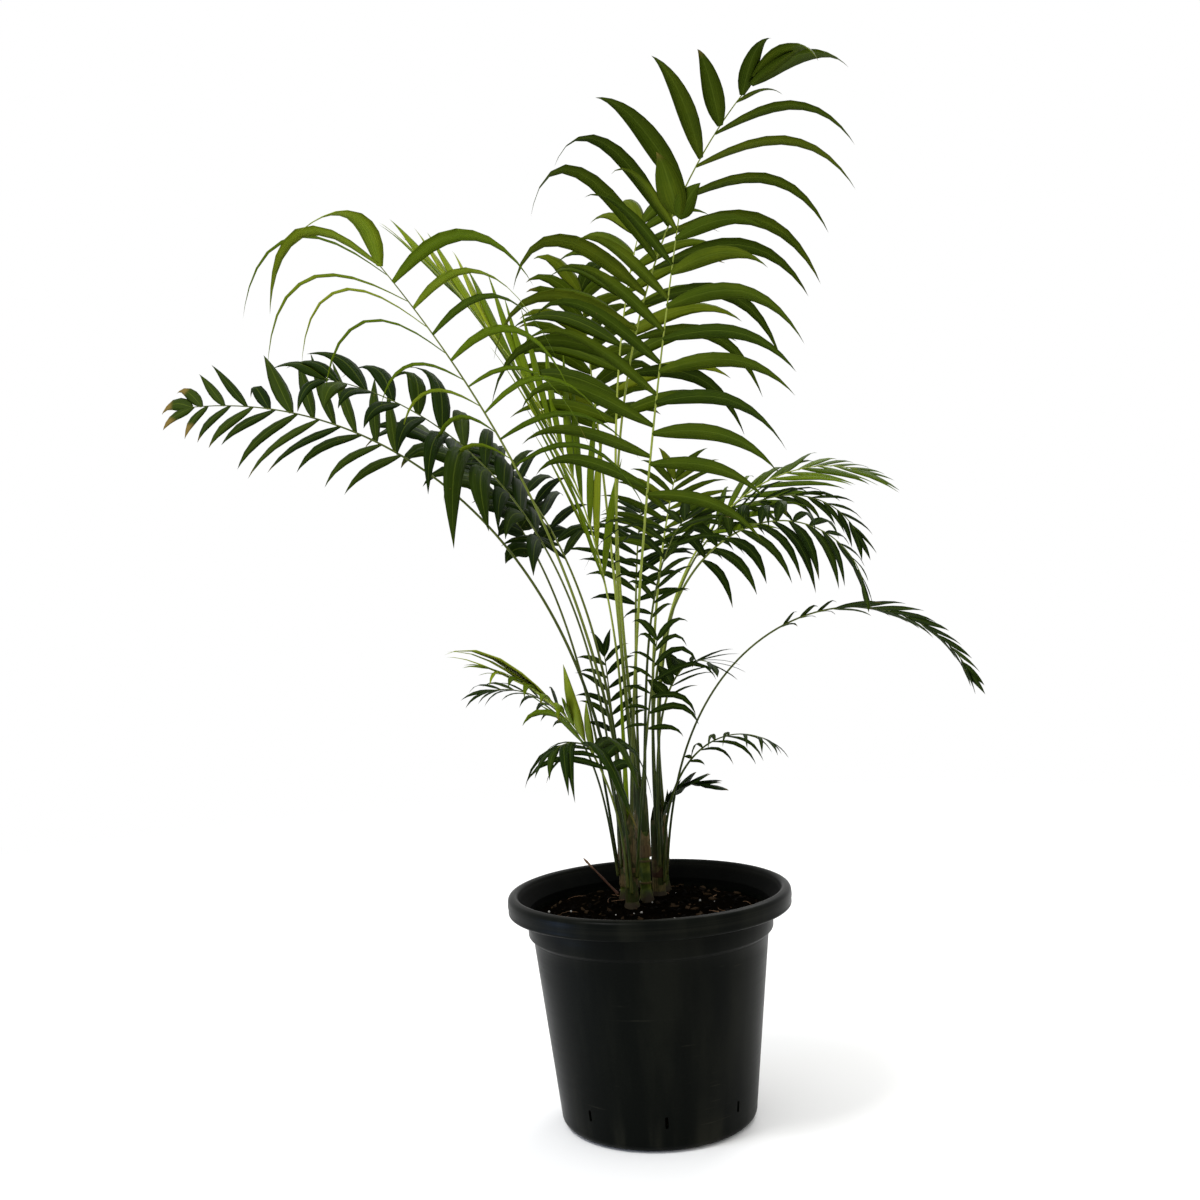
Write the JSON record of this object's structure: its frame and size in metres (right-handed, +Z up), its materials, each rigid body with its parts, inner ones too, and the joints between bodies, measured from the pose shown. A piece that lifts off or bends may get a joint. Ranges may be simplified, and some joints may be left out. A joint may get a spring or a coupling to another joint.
{
  "type": "potted parlour palm",
  "caption": "Small feather palm in a round tapered nursery pot: short ringed canes carry arching fronds of narrow pointed leaflets.",
  "frame": {"origin": "centre of the pot's flat underside", "axes": "+Z up along the pot's axis, +X to the right of the plant and -Y to its front, the side the picture shows"},
  "size_m": [0.8222, 0.5988, 0.9928],
  "materials": {
    "pot_plastic": "dark satin plastic",
    "soil": "dark moist potting mix",
    "cane": "green ringed cane with fibrous sheaths",
    "stalk": "smooth yellow-green stalk",
    "dead_stalk": "dry brown stalk",
    "leaf_bright": "satin yellow-green leaf",
    "leaf_mid": "satin olive-green leaf",
    "leaf_dark": "satin dark green leaf"
  },
  "bodies": {
    "root": {"blade_arch_left": "leaf_bright", "blade_back_right": "leaf_mid", "blade_bright_left": "leaf_bright", "blade_broad_left": "leaf_dark", "blade_dark_left": "leaf_dark", "blade_far_left": "leaf_dark", "blade_front_middle": "leaf_dark", "blade_hand": "leaf_dark", "blade_low_back": "leaf_dark", "blade_low_front": "leaf_dark", "blade_low_left": "leaf_bright", "blade_low_left_back": "leaf_dark", "blade_low_right": "leaf_dark", "blade_middle_back": "leaf_dark", "blade_middle_back_left": "leaf_dark", "blade_right_drooping": "leaf_dark", "blade_right_long": "leaf_dark", "blade_right_lowest": "leaf_dark", "blade_right_middle": "leaf_dark", "blade_right_short": "leaf_dark", "blade_right_upper": "leaf_bright", "blade_tall_back": "leaf_mid", "blade_tall_front": "leaf_mid", "blade_top_right": "leaf_mid", "blade_upper_back_left": "leaf_mid", "cane_back": "cane", "cane_back_right": "cane", "cane_front_left": "cane", "cane_left": "cane", "cane_middle": "cane", "cane_right": "cane", "dead_stalk": "dead_stalk", "pot": "pot_plastic", "potting_soil": "soil", "spear_new_leaf": "leaf_bright", "stalk_arch_left": "stalk", "stalk_back_right": "stalk", "stalk_bright_left": "stalk", "stalk_broad_left": "stalk", "stalk_dark_left": "stalk", "stalk_far_left": "stalk", "stalk_front_middle": "stalk", "stalk_hand": "stalk", "stalk_low_back": "stalk", "stalk_low_front": "stalk", "stalk_low_left": "stalk", "stalk_low_left_back": "stalk", "stalk_low_right": "stalk", "stalk_middle_back": "stalk", "stalk_middle_back_left": "stalk", "stalk_right_drooping": "stalk", "stalk_right_long": "stalk", "stalk_right_lowest": "stalk", "stalk_right_middle": "stalk", "stalk_right_short": "stalk", "stalk_right_upper": "stalk", "stalk_tall_back": "stalk", "stalk_tall_front": "stalk", "stalk_top_right": "stalk", "stalk_upper_back_left": "stalk"}
  },
  "joints": []
}
